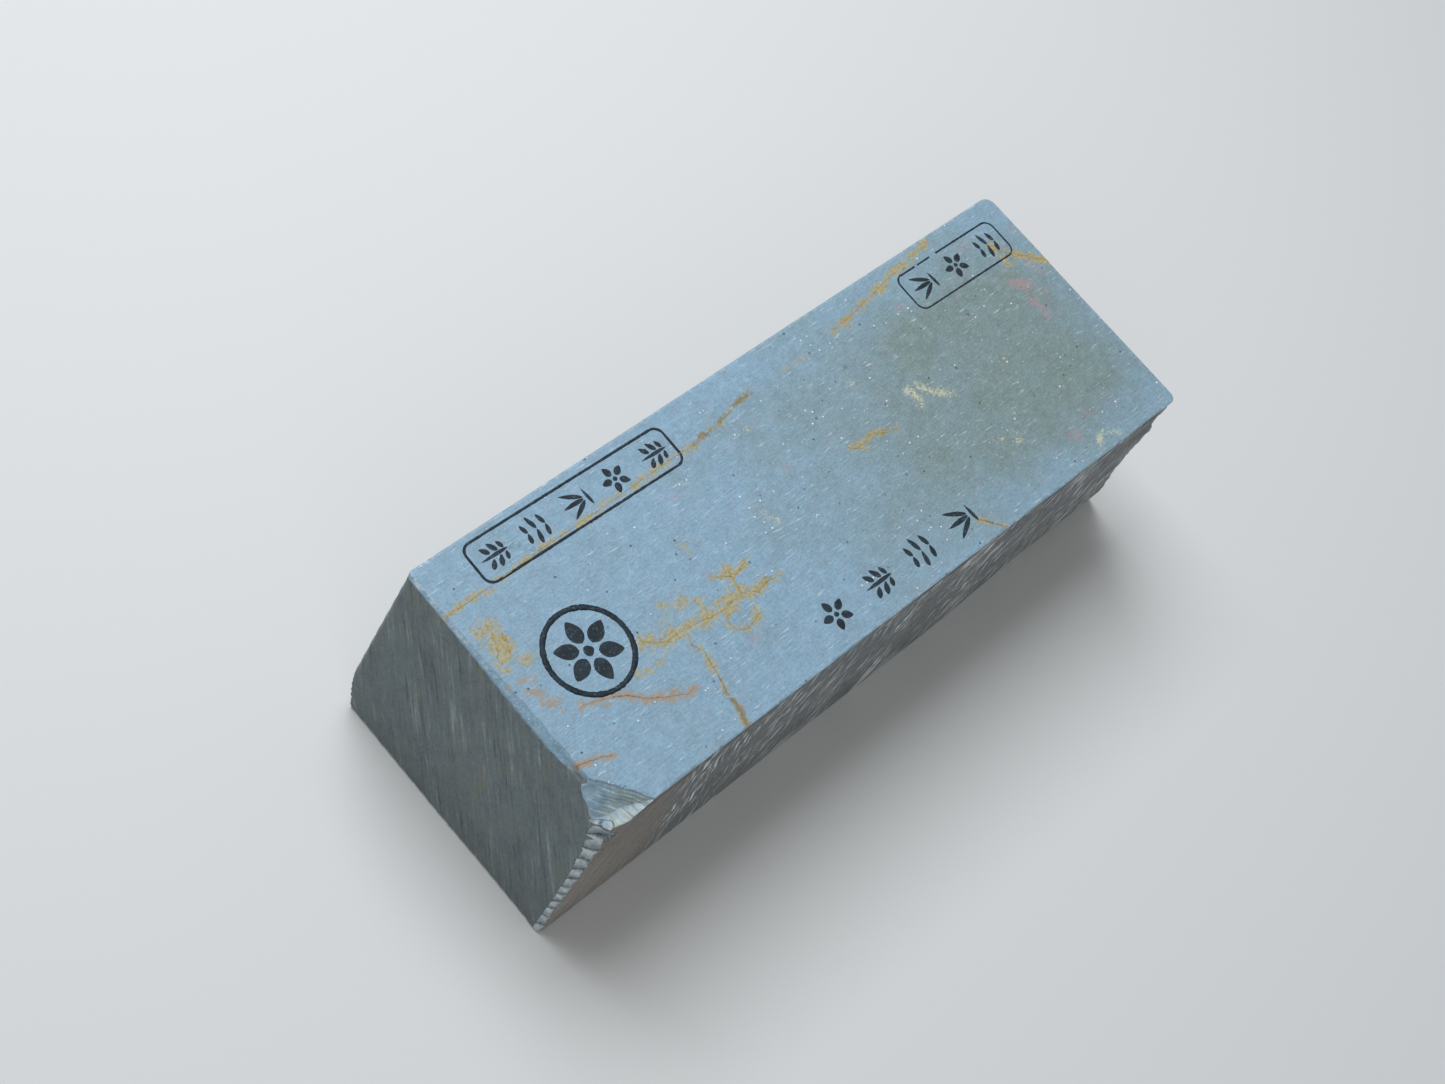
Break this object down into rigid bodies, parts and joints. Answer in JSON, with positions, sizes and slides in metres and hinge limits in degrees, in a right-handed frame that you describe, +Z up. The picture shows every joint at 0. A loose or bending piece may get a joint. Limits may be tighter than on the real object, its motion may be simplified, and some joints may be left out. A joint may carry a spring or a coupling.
{
  "type": "natural sharpening stone",
  "caption": "Rectangular bench sharpening stone sawn from layered natural slate, with a flat honing face, leaning ends, a chipped corner, mineral veins and printed ornaments.",
  "frame": {"origin": "middle of the block's footprint, on the surface it stands on", "axes": "+X along the length towards the far end, +Y towards the straight long side, +Z up to the honing face"},
  "size_m": [0.2149, 0.0762, 0.06],
  "materials": {
    "slate": "fine-grained blue-grey slate, lapped smooth on top and saw-marked on the ends",
    "gold_vein": "dull ochre iron-stained quartz vein",
    "brown_vein": "dull rust-brown vein",
    "ink": "thin dried matt black ink"
  },
  "bodies": {
    "root": {"stone_block": "slate", "long_vein": "gold_vein", "branching_vein": "gold_vein", "cross_vein": "brown_vein", "brown_band_vein": "brown_vein", "corner_vein": "brown_vein", "centre_vein": "gold_vein", "far_end_vein": "gold_vein", "side_edge_vein": "brown_vein", "near_end_patch": "gold_vein", "long_frame_line": "ink", "long_frame_sprigs": "ink", "short_frame_line": "ink", "short_frame_sprigs": "ink", "ring_line": "ink", "ring_blossom": "ink", "row_sprigs": "ink"}
  },
  "joints": []
}
